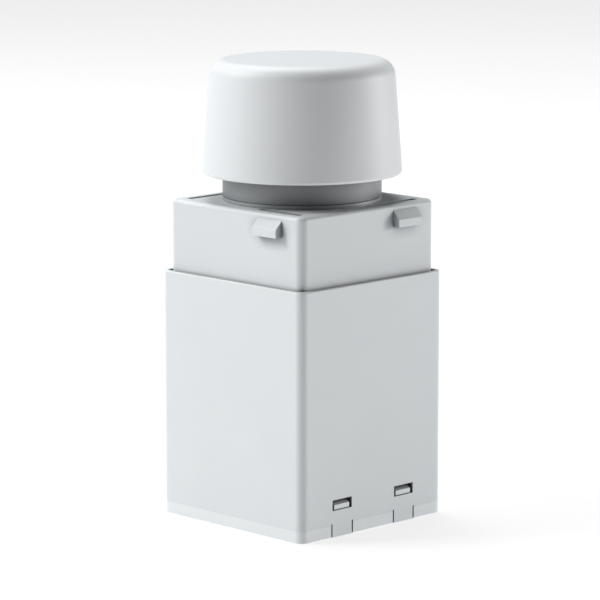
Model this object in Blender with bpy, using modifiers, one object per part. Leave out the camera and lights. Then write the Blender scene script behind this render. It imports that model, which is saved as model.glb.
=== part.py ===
"""Motorised actuator head for a heating or zone valve.

A square sleeve stands on a base plate that snaps in from below. The upper housing rises out of the
sleeve, and on its deck a round collar carries the hand knob. Inside, a small geared motor turns an
idler and a threaded drive nut, which pushes the output stem down into the valve socket in the base.
The knob is pushed down and turned to drive the same nut by hand.

Frame: origin at the centre of the base's underside, +Z up. The -Y and +Y faces are plain, and the
+X and -X faces carry the snap windows of the base. All lengths are in metres.
"""

import math

import bmesh
import bpy
from mathutils import Matrix, Vector

MM = 0.001

# ---------------------------------------------------------------- driving sizes
BODY_SIDE = 60.0 * MM  # outer width of the square sleeve
BODY_CORNER_R = 2.7 * MM  # rounding of its vertical edges
SLEEVE_WALL = 1.5 * MM
SLEEVE_TOP = 74.6 * MM  # height of the sleeve's open top edge
SEAT_GAP = 0.3 * MM  # between pieces that rest on or slide in each other
RUN_GAP = 0.15 * MM  # radial running clearance of shafts and bushes

LEDGE_CENTRE = 15.0 * MM  # the ledges inside the sleeve that carry the upper housing
LEDGE_WIDTH = 8.0 * MM

HOUSING_WALL = 2.4 * MM
HOUSING_TOP = 96.1 * MM  # top face of the deck
HOUSING_OVERLAP = 12.6 * MM  # how far the upper housing reaches down into the sleeve
DECK_THICK = 2.2 * MM
DECK_EDGE_R = 1.3 * MM
DECK_BUSH_R = 6.0 * MM  # bush of the drive shaft in the deck
DECK_BUSH_DEPTH = 5.0 * MM

CATCH_WIDTH = 10.0 * MM  # the four snap catches that hold a fitting pushed on from above
CATCH_CENTRE = 15.0 * MM  # from the middle of each face, towards its right-hand edge
CATCH_REACH = 2.5 * MM
CATCH_HEIGHT = 5.0 * MM
CATCH_LIP = 2.3 * MM  # height of its upright front
CATCH_DROP = 1.6 * MM  # from the deck down to the top of the catch
SLOT_LENGTH = 17.3 * MM  # relief slot in the deck behind each catch
SLOT_WIDTH = 2.0 * MM
SLOT_INSET = 6.0 * MM  # from the sleeve's outer face to the middle of the slot
SLOT_CENTRE = 15.25 * MM

BASE_BAND = 3.7 * MM  # visible edge of the base plate
BAND_GAP = 0.15 * MM  # between that edge and the sleeve above it
TUB_HEIGHT = 10.3 * MM  # upstanding wall of the base plate inside the sleeve
TUB_WALL = 1.6 * MM
TAB_WIDTH = 8.1 * MM  # sleeve tabs that fill the notches of the base plate
TAB_CENTRE = 13.1 * MM
TAB_SLIT = 0.45 * MM
TAB_INNER_GAP = 0.1 * MM  # the notch's floor stands this far out from the tub's wall
WINDOW_LOW = 8.0 * MM
WINDOW_HEIGHT = 3.2 * MM
HOOK_WIDTH = 6.5 * MM  # base hooks that show in the windows

SOCKET_R = 18.0 * MM  # valve socket in the base
SOCKET_DEPTH = 16.0 * MM
SOCKET_WALL = 2.5 * MM
ROOF_THICK = 2.6 * MM
RING_Z = 8.0 * MM  # wire ring that grips the valve's adapter
RING_WIRE_R = 0.6 * MM
LUG_REACH = 1.5 * MM
LUG_WIDTH = 6.0 * MM

KNOB_R = 30.0 * MM  # at the lower rim
KNOB_GAP = 8.0 * MM  # from the deck to the rim
KNOB_HEIGHT = 34.1 * MM
KNOB_DRAFT = 0.075  # inward lean of the knob's side, per unit of height
KNOB_EDGE_R = 4.6 * MM
KNOB_RIM_R = 0.8 * MM
KNOB_WALL = 2.3 * MM
KNOB_PRESS = 4.0 * MM  # travel when the knob is pushed down

COLLAR_R = 23.85 * MM
COLLAR_WALL = 2.0 * MM
COLLAR_STEP = 1.2 * MM  # raised ring of the deck that the collar stands on
COLLAR_RISE = 15.6 * MM  # from the deck to the collar's top
COLLAR_WEB = 2.0 * MM

POST_INSET = 5.6 * MM  # the four through screws, in from the sleeve's outer faces
POST_R = 2.9 * MM
SCREW_R = 1.5 * MM
SCREW_HEAD_OVER = 1.4 * MM  # the head's radius beyond the shank's
SCREW_HEAD_HEIGHT = 2.0 * MM
SCREW_SHORT = 15.9 * MM  # how far the screws end below the deck

PLATE_THICK = 1.6 * MM
LOWER_PLATE_Z = 22.0 * MM
UPPER_PLATE_Z = 40.0 * MM
PLATE_ROOM = 1.1 * MM  # from the gear plates' edges to the sleeve
BUSH_R = 8.8 * MM  # the two bearings of the drive nut
BUSH_FLANGE_R = 10.5 * MM
BUSH_FLANGE_THICK = 1.1 * MM

MODULE = 0.8 * MM  # gear module
PRESSURE_ANGLE = math.radians(25)
BACKLASH = 0.12 * MM  # thinning of each tooth at the pitch circle
NUT_TEETH = 38
IDLER_PINION_TEETH = 12
IDLER_TEETH = 25
MOTOR_TEETH = 12
NUT_GEAR_Z = 25.5 * MM
NUT_GEAR_WIDTH = 5.0 * MM
IDLER_GEAR_Z = 31.9 * MM
IDLER_GEAR_WIDTH = 4.0 * MM

NUT_R = 7.0 * MM  # lower journal of the drive nut
NUT_TOP_R = 6.8 * MM  # upper journal
NUT_SEAT_R = 8.0 * MM
NUT_BORE_R = 4.6 * MM
NUT_TOP = 52.0 * MM
SHAFT_R = 4.0 * MM
SHAFT_LOW_HEX = 6.8 * MM  # across flats
SHAFT_TOP_HEX = 8.0 * MM
STEM_R = 4.0 * MM
STEM_FLAT = 3.4 * MM  # from the axis to each flat that keeps the stem from turning
STEM_LOW = 15.4 * MM
STEM_THREAD_LOW = 27.0 * MM
STEM_TOP = 44.0 * MM
THREAD_LEAD = 3.0 * MM
THREAD_CORE_R = 3.4 * MM
FOOT_R = 6.5 * MM
FOOT_THICK = 1.9 * MM

MOTOR_R = 10.0 * MM
MOTOR_HEIGHT = 18.0 * MM
MOTOR_X = 17.6 * MM
MOTOR_EAR = 12.0 * MM  # from the motor's axis to each fixing screw
MOTOR_BOSS_R = 4.0 * MM
MOTOR_SHAFT_R = 1.0 * MM
IDLER_PIN_R = 1.25 * MM

BOARD_HALF = 19.0 * MM
BOARD_THICK = 1.6 * MM
BOARD_LOW = 44.0 * MM
BOARD_ROOM = 7.9 * MM  # from the board's top to the deck

PLUG_WIDTH = 16.0 * MM  # rear cable socket
PLUG_HEIGHT = 10.0 * MM
PLUG_DEPTH = 9.0 * MM
PLUG_WALL = 1.8 * MM

HUB_R = 7.4 * MM
HUB_GRIP = 8.0 * MM  # length of the hub's hexagonal bore
CLIP_R = 5.6 * MM
CLIP_GROOVE_R = 3.4 * MM
CLIP_THICK = 0.7 * MM
SPRING_R = 9.4 * MM
SPRING_WIRE_R = 0.6 * MM
SPRING_LENGTH = 16.0 * MM

# ---------------------------------------------------------------- sizes that follow from them
HALF = BODY_SIDE / 2
SLEEVE_INNER = HALF - SLEEVE_WALL
HOUSING_HALF = SLEEVE_INNER - SEAT_GAP
HOUSING_INNER = HOUSING_HALF - HOUSING_WALL
HOUSING_LOW = SLEEVE_TOP - HOUSING_OVERLAP
DECK_LOW = HOUSING_TOP - DECK_THICK
TUB_TOP = BASE_BAND + TUB_HEIGHT
ROOF_TOP = SOCKET_DEPTH + ROOF_THICK
PLUG_CENTRE_Z = LOWER_PLATE_Z + PLATE_THICK + SEAT_GAP + PLUG_HEIGHT / 2
COLLAR_LOW = HOUSING_TOP + COLLAR_STEP + SEAT_GAP
COLLAR_TOP = HOUSING_TOP + COLLAR_RISE
KNOB_LOW = HOUSING_TOP + KNOB_GAP
KNOB_TOP = KNOB_LOW + KNOB_HEIGHT
HUB_LOW = COLLAR_TOP + KNOB_PRESS + 2.3 * MM
HUB_SHOULDER = HUB_LOW + HUB_GRIP
SHAFT_TOP = HUB_SHOULDER + 4 * MM
SPRING_TOP = COLLAR_TOP + SPRING_LENGTH
SLOT_AT = HALF - SLOT_INSET
RING_R = SOCKET_R
POST_CENTRE = HALF - POST_INSET
PLATE_HALF = SLEEVE_INNER - PLATE_ROOM
SCREW_HOLE_R = SCREW_R + RUN_GAP
SCREW_HEAD_R = SCREW_R + SCREW_HEAD_OVER
SCREW_TOP = DECK_LOW - SCREW_SHORT
BOARD_TOP = DECK_LOW - BOARD_ROOM
IDLER_REACH = MODULE * (NUT_TEETH + IDLER_PINION_TEETH) / 2
MOTOR_REACH = MODULE * (IDLER_TEETH + MOTOR_TEETH) / 2
IDLER_AT = Vector((IDLER_REACH, IDLER_REACH, 0)) / math.sqrt(2)
MOTOR_AT = Vector(
    (MOTOR_X, IDLER_AT.y - math.sqrt(MOTOR_REACH**2 - (MOTOR_X - IDLER_AT.x) ** 2), 0)
)
POSTS = [
    Vector((x * POST_CENTRE, y * POST_CENTRE, 0)) for x, y in ((1, 1), (-1, 1), (-1, -1), (1, -1))
]
MERGE = 0.00001  # welds the seam of a turned shape, and nothing else
OVER = 1.0 * MM  # how far a cutter runs past the wall, and how deep joined shapes overlap

# ---------------------------------------------------------------- scene and materials
for old in list(bpy.data.objects):
    bpy.data.objects.remove(old)

parts = bpy.data.collections.new("motorised_actuator_head")
tools = bpy.data.collections.new("cutters")
bpy.context.scene.collection.children.link(parts)
bpy.context.scene.collection.children.link(tools)


def make_material(name, colour, roughness, metallic=0.0):
    """A Principled BSDF with one colour."""
    material = bpy.data.materials.new(name)
    material.use_nodes = True
    shader = material.node_tree.nodes["Principled BSDF"]
    shader.inputs["Base Color"].default_value = (*colour, 1)
    shader.inputs["Roughness"].default_value = roughness
    shader.inputs["Metallic"].default_value = metallic
    return material


CASING = make_material("casing_abs", (0.80, 0.82, 0.83), 0.4)
KNOB = make_material("knob_abs", (0.82, 0.83, 0.84), 0.32)
BASE = make_material("base_abs", (0.84, 0.86, 0.87), 0.42)
COLLAR = make_material("collar_grey", (0.55, 0.56, 0.57), 0.45)
ACETAL = make_material("gear_acetal", (0.88, 0.87, 0.82), 0.4)
STEEL = make_material("steel", (0.62, 0.62, 0.63), 0.3, 1.0)
BRASS = make_material("brass", (0.78, 0.62, 0.32), 0.3, 1.0)
RUBBER = make_material("black_rubber", (0.03, 0.03, 0.03), 0.7)
BOARD = make_material("circuit_board", (0.03, 0.22, 0.10), 0.5)
BLACK = make_material("black_plastic", (0.04, 0.04, 0.045), 0.5)


# ---------------------------------------------------------------- shape tools
def link(name, mesh, material, matrix=None):
    """Puts a mesh in the scene as a part, or as a cutter if it has no material."""
    made = bpy.data.objects.new(name, mesh)
    if matrix is not None:
        made.matrix_world = matrix
    if material is None:
        tools.objects.link(made)
        made.hide_render = True
        made.display_type = "WIRE"
    else:
        parts.objects.link(made)
        made.data.materials.clear()
        made.data.materials.append(material)
        mesh.shade_smooth()
        mesh.set_sharp_from_angle(angle=math.radians(35))
    return made


def extruded(name, loops, z_low, z_high, material=None, matrix=None):
    """A flat outline with any holes, given thickness: a filled 2D curve turned into a closed mesh."""
    curve = bpy.data.curves.new(name, "CURVE")
    curve.dimensions = "2D"
    curve.fill_mode = "BOTH"
    curve.extrude = (z_high - z_low) / 2
    for loop in loops:
        spline = curve.splines.new("POLY")
        spline.points.add(len(loop) - 1)
        spline.use_cyclic_u = True
        for point, (x, y) in zip(spline.points, loop):
            point.co = (x, y, 0, 1)
    guide = bpy.data.objects.new(name + "_outline", curve)
    tools.objects.link(guide)
    bpy.context.view_layer.update()
    evaluated = guide.evaluated_get(bpy.context.evaluated_depsgraph_get())
    mesh = bpy.data.meshes.new_from_object(evaluated)
    bpy.data.objects.remove(guide)
    solid = bmesh.new()
    solid.from_mesh(mesh)
    bmesh.ops.remove_doubles(solid, verts=solid.verts, dist=MERGE)
    bmesh.ops.translate(solid, verts=solid.verts, vec=(0, 0, (z_low + z_high) / 2))
    bmesh.ops.recalc_face_normals(solid, faces=solid.faces)
    solid.to_mesh(mesh)
    solid.free()
    return link(name, mesh, material, matrix)


def turned(name, profile, material=None, steps=24, centre=(0, 0, 0), closed=False):
    """A shape turned about Z. Its profile of (radius, height) runs down the outer side."""
    solid = bmesh.new()
    ring = [solid.verts.new((radius, 0, height)) for radius, height in profile]
    for a, b in zip(ring, ring[1:] + ring[:1] if closed else ring[1:]):
        solid.edges.new((a, b))
    mesh = bpy.data.meshes.new(name)
    solid.to_mesh(mesh)
    solid.free()
    made = link(name, mesh, material, Matrix.Translation(centre))
    screw = made.modifiers.new("turn", "SCREW")
    screw.angle = math.tau
    screw.steps = screw.render_steps = steps
    screw.use_merge_vertices = True
    screw.merge_threshold = MERGE
    screw.use_smooth_shade = True
    return made


def rod(name, radius, z_low, z_high, material=None, steps=24, centre=(0, 0, 0)):
    """A plain round bar or a drill."""
    profile = [(0, z_high), (radius, z_high), (radius, z_low), (0, z_low)]
    return turned(name, profile, material, steps, centre)


def tube(name, outer, inner, z_low, z_high, material=None, steps=24, centre=(0, 0, 0)):
    """A plain round tube or washer."""
    profile = [(outer, z_high), (outer, z_low), (inner, z_low), (inner, z_high)]
    return turned(name, profile, material, steps, centre, closed=True)


def box(name, low, high, material=None, matrix=None):
    """A block between two corners."""
    size = Vector(high) - Vector(low)
    solid = bmesh.new()
    bmesh.ops.create_cube(solid, size=1)
    bmesh.ops.scale(solid, verts=solid.verts, vec=size)
    bmesh.ops.translate(solid, verts=solid.verts, vec=(Vector(high) + Vector(low)) / 2)
    mesh = bpy.data.meshes.new(name)
    solid.to_mesh(mesh)
    solid.free()
    return link(name, mesh, material, matrix)


def combine(target, other, operation):
    """Cuts with, or joins, another shape."""
    step = target.modifiers.new(other.name, "BOOLEAN")
    step.operation = operation
    step.object = other


def cut(target, *others):
    for other in others:
        combine(target, other, "DIFFERENCE")


def join(target, *others):
    for other in others:
        combine(target, other, "UNION")


def circle(radius, count, centre=(0, 0)):
    """Points on a circle."""
    turns = [math.tau * n / count for n in range(count)]
    return [(centre[0] + radius * math.cos(t), centre[1] + radius * math.sin(t)) for t in turns]


def hexagon(across_flats):
    return circle(across_flats / math.sqrt(3), 6)


def rounded_square(half, radius, arc_steps=5):
    """The outline of a square of half-width half with rounded corners."""
    points = []
    for quarter in range(4):
        turn = math.pi / 2 * quarter
        middle = Vector((half - radius, half - radius, 0))
        for n in range(arc_steps + 1):
            angle = math.pi / 2 * n / arc_steps
            corner = middle + radius * Vector((math.cos(angle), math.sin(angle), 0))
            points.append((Matrix.Rotation(turn, 3, "Z") @ corner)[:2])
    return points


def double_d(radius, flat, arc_steps=8):
    """A round outline with two flats facing +X and -X."""
    half_angle = math.acos(flat / radius)
    points = []
    for side in (0, math.pi):
        for n in range(arc_steps + 1):
            angle = side + half_angle + (math.pi - 2 * half_angle) * n / arc_steps
            points.append((radius * math.cos(angle), radius * math.sin(angle)))
    return points


def quarter_turn(count):
    """An exact turn about Z by a whole number of right angles."""
    c, s = ((1, 0), (0, 1), (-1, 0), (0, -1))[count % 4]
    return Matrix(((c, -s, 0, 0), (s, c, 0, 0), (0, 0, 1, 0), (0, 0, 0, 1)))


def upright(place):
    """Stands an outline drawn in X and Y upright: its Y becomes Z, and its thickness runs along Y."""
    return Matrix(((1, 0, 0, place[0]), (0, 0, -1, place[1]), (0, 1, 0, place[2]), (0, 0, 0, 1)))


def along_x(place):
    """Lays a shape made along Z down along +X."""
    return Matrix(((0, 0, 1, place[0]), (0, 1, 0, place[1]), (-1, 0, 0, place[2]), (0, 0, 0, 1)))


# ---------------------------------------------------------------- gears
def involute(angle):
    """The involute function, tan a - a."""
    return math.tan(angle) - angle


def gear_outline(teeth, phase):
    """A spur gear's outline with one tooth centred on the direction phase."""
    pitch_r = MODULE * teeth / 2
    base_r = pitch_r * math.cos(PRESSURE_ANGLE)
    tip_r = pitch_r + 0.9 * MODULE
    root_r = pitch_r - 1.15 * MODULE
    half_pitch = math.pi / (2 * teeth) - BACKLASH / 2 / pitch_r
    flank_steps = 2
    start_r = max(base_r, root_r)

    def half_width(radius):
        """Angle from a tooth's middle to its flank at a radius."""
        return half_pitch + involute(PRESSURE_ANGLE) - involute(math.acos(base_r / radius))

    flank = [start_r + (tip_r - start_r) * n / flank_steps for n in range(flank_steps + 1)]
    points = []
    for tooth in range(teeth):
        middle = phase + math.tau * tooth / teeth
        rising = [(radius, middle - half_width(radius)) for radius in flank]
        falling = [(radius, middle + half_width(radius)) for radius in reversed(flank)]
        side = [*rising, *falling]
        if root_r < base_r:
            foot = half_width(start_r)
            side = [(root_r, middle - foot), *side, (root_r, middle + foot)]
        points += [(r * math.cos(a), r * math.sin(a)) for r, a in side]
    return points


def gear(name, teeth, phase, bore_r, z_low, width, at, material):
    """A spur gear on its own axis."""
    loops = [gear_outline(teeth, phase), circle(bore_r, 20)]
    return extruded(name, loops, z_low, z_low + width, material, Matrix.Translation(at))


def direction(start, end):
    """Angle of the line from start to end."""
    return math.atan2(end.y - start.y, end.x - start.x)


# ---------------------------------------------------------------- base plate and its fittings
def make_base_plate():
    """The bottom cover: a square flange, an upstanding wall with four hooks, the valve socket and posts."""
    base = extruded("base_plate", [rounded_square(HALF, BODY_CORNER_R)], 0, BASE_BAND, BASE)
    tub_outline = [
        rounded_square(HOUSING_HALF, BODY_CORNER_R - SLEEVE_WALL),
        rounded_square(HOUSING_HALF - TUB_WALL, BODY_CORNER_R - SLEEVE_WALL),
    ]
    join(base, extruded("tub_wall", tub_outline, BASE_BAND - OVER, TUB_TOP))
    join(base, rod("socket_body", SOCKET_R + SOCKET_WALL, OVER, ROOF_TOP, steps=36))
    for at in POSTS:
        join(base, rod("base_post", POST_R, OVER, LOWER_PLATE_Z - SEAT_GAP, steps=12, centre=at))
    for hook in make_hooks():
        join(base, hook)
    cut(base, rod("socket_bore", SOCKET_R, -OVER, SOCKET_DEPTH, steps=36))
    groove = RING_Z - RING_WIRE_R - SEAT_GAP, RING_Z + RING_WIRE_R + SEAT_GAP
    cut(base, tube("ring_groove", RING_R + RING_WIRE_R + SEAT_GAP, SOCKET_R - OVER, *groove, steps=36))
    cut(base, rod("guide_hole", FOOT_R + SEAT_GAP, SOCKET_DEPTH - OVER, ROOF_TOP + OVER))
    for at in POSTS:
        head_room = SCREW_HEAD_HEIGHT + 2 * SEAT_GAP
        cut(base, rod("head_pocket", SCREW_HEAD_R + SEAT_GAP, -OVER, head_room, steps=12, centre=at))
        cut(base, rod("post_hole", SCREW_HOLE_R, -OVER, LOWER_PLATE_Z, steps=12, centre=at))
    notch_half = TAB_WIDTH / 2 + TAB_SLIT
    for side in (0, 2):
        for centre in (-TAB_CENTRE, TAB_CENTRE):
            low = (SLEEVE_INNER - SEAT_GAP + TAB_INNER_GAP, centre - notch_half, -OVER)
            high = (HALF + OVER, centre + notch_half, BASE_BAND + SEAT_GAP)
            cut(base, box("tab_notch", low, high, matrix=quarter_turn(side)))
    for third in range(3):
        low = (SOCKET_R - LUG_REACH, -LUG_WIDTH / 2, 2 * MM)
        high = (SOCKET_R + OVER, LUG_WIDTH / 2, 4.5 * MM)
        spin = Matrix.Rotation(math.tau * third / 3 + math.pi / 2, 4, "Z")
        join(base, box("bayonet_lug", low, high, matrix=spin))
    return base


def make_hooks():
    """Wedges on the base's wall: upright below, sloping back above, one for each sleeve window."""
    face = HALF - 0.2 * MM - HOUSING_HALF
    low = WINDOW_LOW + 0.2 * MM
    shape = [
        (-OVER, low),
        (face, low),
        (face, WINDOW_LOW + 0.55 * WINDOW_HEIGHT),
        (-0.6 * MM, WINDOW_LOW + WINDOW_HEIGHT),
        (-OVER, WINDOW_LOW + WINDOW_HEIGHT),
    ]
    hooks = []
    for side in (0, 2):
        for centre in (-TAB_CENTRE, TAB_CENTRE):
            place = quarter_turn(side) @ upright((HOUSING_HALF, centre, 0))
            hooks.append(extruded("hook", [shape], -HOOK_WIDTH / 2, HOOK_WIDTH / 2, matrix=place))
    return hooks


def make_socket_fittings():
    """The gasket, the wire ring that grips the valve adapter, and the stem's guide bush."""
    gasket_top = SOCKET_DEPTH - SEAT_GAP
    tube("socket_gasket", SOCKET_R - 0.5 * MM, 12 * MM, gasket_top - 0.8 * MM, gasket_top, RUBBER, 36)
    count = 30
    gap = math.radians(50)
    turns = [gap / 2 + (math.tau - gap) * n / count for n in range(count + 1)]
    points = [(RING_R * math.cos(t), RING_R * math.sin(t), RING_Z) for t in turns]
    wire("retaining_ring", points, RING_WIRE_R, resolution=1)
    guide_r = FOOT_R
    flange_low = ROOF_TOP + SEAT_GAP
    profile = [(0, flange_low + 1.1 * MM), (9.5 * MM, flange_low + 1.1 * MM), (9.5 * MM, flange_low)]
    profile += [(guide_r, flange_low), (guide_r, SOCKET_DEPTH + SEAT_GAP), (0, SOCKET_DEPTH + SEAT_GAP)]
    guide = turned("stem_guide", profile, ACETAL)
    hole = double_d(STEM_R + RUN_GAP, STEM_FLAT + RUN_GAP)
    cut(guide, extruded("guide_bore", [hole], SOCKET_DEPTH - OVER, ROOF_TOP + 2 * OVER))


def wire(name, points, radius, material=STEEL, resolution=2):
    """A round wire along a list of points."""
    curve = bpy.data.curves.new(name, "CURVE")
    curve.dimensions = "3D"
    curve.bevel_depth = radius
    curve.bevel_resolution = resolution
    curve.use_fill_caps = True
    spline = curve.splines.new("POLY")
    spline.points.add(len(points) - 1)
    for point, place in zip(spline.points, points):
        point.co = (*place, 1)
    made = bpy.data.objects.new(name, curve)
    parts.objects.link(made)
    curve.materials.append(material)
    return made


# ---------------------------------------------------------------- sleeve and upper housing
def make_sleeve():
    """The outer sleeve: an open square tube with snap windows, tabs and an opening for the cable socket."""
    inner_r = BODY_CORNER_R - SLEEVE_WALL
    loops = [rounded_square(HALF, BODY_CORNER_R), rounded_square(SLEEVE_INNER, inner_r)]
    sleeve = extruded("outer_sleeve", loops, 0, SLEEVE_TOP, CASING)
    cut(sleeve, extruded("below_band", [around_tabs()], -OVER, BASE_BAND + BAND_GAP))
    for side in (0, 2):
        for centre in (-TAB_CENTRE, TAB_CENTRE):
            low = (SLEEVE_INNER - OVER, centre - TAB_WIDTH / 2, WINDOW_LOW)
            high = (HALF + OVER, centre + TAB_WIDTH / 2, WINDOW_LOW + WINDOW_HEIGHT)
            cut(sleeve, box("window", low, high, matrix=quarter_turn(side)))
    for side in range(4):
        inner_x = SLEEVE_INNER - HOUSING_WALL + SEAT_GAP
        low = (inner_x, LEDGE_CENTRE - LEDGE_WIDTH / 2, HOUSING_LOW - 3 * MM)
        high = (SLEEVE_INNER + SLEEVE_WALL / 2, LEDGE_CENTRE + LEDGE_WIDTH / 2, HOUSING_LOW - SEAT_GAP)
        join(sleeve, box("ledge", low, high, matrix=quarter_turn(side)))
    reach = PLUG_WIDTH / 2 - PLUG_WALL + 0.3 * MM
    rise = PLUG_HEIGHT / 2 - PLUG_WALL + 0.3 * MM
    low = (-HALF - OVER, -reach, PLUG_CENTRE_Z - rise)
    high = (-SLEEVE_INNER + OVER, reach, PLUG_CENTRE_Z + rise)
    cut(sleeve, box("plug_opening", low, high))


def around_tabs():
    """The plan of what is cut away at the sleeve's foot: everything but its four tabs."""
    far, near = HALF + 5 * MM, SLEEVE_INNER - 3 * MM
    edges = [side * TAB_CENTRE + turn * TAB_WIDTH / 2 for side in (-1, 1) for turn in (-1, 1)]
    right = [(far, -far)]
    for start, end in (edges[:2], edges[2:]):
        right += [(far, start), (near, start), (near, end), (far, end)]
    right.append((far, far))
    return right + [(-x, -y) for x, y in right]


def make_housing():
    """The upper housing: walls, deck, four snap catches with their relief slots, and screw legs."""
    loops = [rounded_square(HOUSING_HALF, BODY_CORNER_R)]
    housing = extruded("upper_housing", loops, HOUSING_LOW, HOUSING_TOP, CASING)
    round_top_edge(housing, HOUSING_TOP, DECK_EDGE_R)
    inside = [rounded_square(HOUSING_INNER, BODY_CORNER_R / 2)]
    cut(housing, extruded("housing_room", inside, HOUSING_LOW - OVER, DECK_LOW))
    leg_low = UPPER_PLATE_Z + PLATE_THICK + SEAT_GAP
    for at in POSTS:
        join(housing, rod("leg", POST_R, leg_low, DECK_LOW + OVER / 2, steps=12, centre=at))
    join(housing, rod("bearing_seat", DECK_BUSH_R + 2.3 * MM, DECK_LOW - DECK_BUSH_DEPTH, DECK_LOW + OVER))
    board_room = BOARD_THICK + 2 * SEAT_GAP
    groove_x = -HOUSING_INNER + SEAT_GAP
    for side in (-1, 1):
        middle = side * (BOARD_HALF + 0.2 * MM)
        low = (-HOUSING_INNER - OVER / 2, middle - 1.6 * MM, HOUSING_LOW + OVER)
        high = (groove_x + board_room + 1.5 * MM, middle + 1.6 * MM, BOARD_TOP + 2 * MM)
        join(housing, box("board_rail", low, high))
        inner, outer = sorted((side * (BOARD_HALF - 3 * MM), side * (BOARD_HALF + SEAT_GAP)))
        low = (groove_x, inner, HOUSING_LOW - OVER)
        high = (groove_x + board_room, outer, BOARD_TOP + SEAT_GAP)
        cut(housing, box("board_groove", low, high))
    for at in POSTS:
        cut(housing, rod("leg_hole", SCREW_HOLE_R, leg_low - OVER, SCREW_TOP + OVER, steps=12, centre=at))
    outer, inner = COLLAR_R, COLLAR_R - COLLAR_WALL - SEAT_GAP
    profile = [
        (outer, HOUSING_TOP + COLLAR_STEP),
        (outer, HOUSING_TOP - OVER),
        (inner - COLLAR_WALL, HOUSING_TOP - OVER),
        (inner - COLLAR_WALL, HOUSING_TOP + 5 * MM),
        (inner, HOUSING_TOP + 5 * MM),
        (inner, HOUSING_TOP + COLLAR_STEP),
    ]
    join(housing, turned("collar_seat", profile, steps=48, closed=True))
    cut(housing, rod("bearing_hole", DECK_BUSH_R + RUN_GAP, DECK_LOW - 10 * MM, HOUSING_TOP + OVER))
    catch_top = HOUSING_TOP - CATCH_DROP
    catch_low = catch_top - CATCH_HEIGHT
    wedge = [
        (-OVER, catch_low),
        (CATCH_REACH, catch_low),
        (CATCH_REACH, catch_low + CATCH_LIP),
        (-OVER, catch_top + OVER * (CATCH_HEIGHT - CATCH_LIP) / CATCH_REACH),
    ]
    for side in range(4):
        place = quarter_turn(side) @ upright((HOUSING_HALF, CATCH_CENTRE, 0))
        join(housing, extruded("catch", [wedge], -CATCH_WIDTH / 2, CATCH_WIDTH / 2, matrix=place))
        start = SLOT_AT - SLOT_WIDTH / 2, SLOT_CENTRE - SLOT_LENGTH / 2
        low = (*start, HOUSING_TOP - 6 * MM)
        high = (start[0] + SLOT_WIDTH, start[1] + SLOT_LENGTH, HOUSING_TOP + OVER)
        cut(housing, box("relief_slot", low, high, matrix=quarter_turn(side)))


def round_top_edge(target, height, radius):
    """Rounds the edges that lie in the top face."""
    mesh = target.data
    weight = mesh.attributes.new("bevel_weight_edge", "FLOAT", "EDGE")
    for edge in mesh.edges:
        on_top = all(abs(mesh.vertices[v].co.z - height) < MERGE for v in edge.vertices)
        weight.data[edge.index].value = 1.0 if on_top else 0.0
    bevel = target.modifiers.new("top_edge", "BEVEL")
    bevel.limit_method = "WEIGHT"
    bevel.width = radius
    bevel.segments = 2


def make_collar():
    """The fixed round neck under the knob, with the bush that guides the drive shaft."""
    inner = COLLAR_R - COLLAR_WALL
    hole_r = 7 * MM
    profile = [
        (COLLAR_R, COLLAR_TOP),
        (COLLAR_R, COLLAR_LOW),
        (inner, COLLAR_LOW),
        (inner, COLLAR_TOP - COLLAR_WEB),
        (hole_r, COLLAR_TOP - COLLAR_WEB),
        (hole_r, COLLAR_TOP),
    ]
    turned("neck_collar", profile, COLLAR, 48, closed=True)
    bush_r, flange_r, bore_r = DECK_BUSH_R, 8.0 * MM, SHAFT_R + RUN_GAP
    seat = HOUSING_TOP + SEAT_GAP
    profile = [
        (flange_r, seat + 1.4 * MM),
        (flange_r, seat),
        (bush_r, seat),
        (bush_r, DECK_LOW - DECK_BUSH_DEPTH),
        (bore_r, DECK_LOW - DECK_BUSH_DEPTH),
        (bore_r, seat + 1.4 * MM),
    ]
    turned("deck_bearing", profile, ACETAL, closed=True)


# ---------------------------------------------------------------- knob
def knob_side(height):
    """Radius of the knob's side at a height."""
    return KNOB_R - KNOB_DRAFT * (height - KNOB_LOW)


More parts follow.
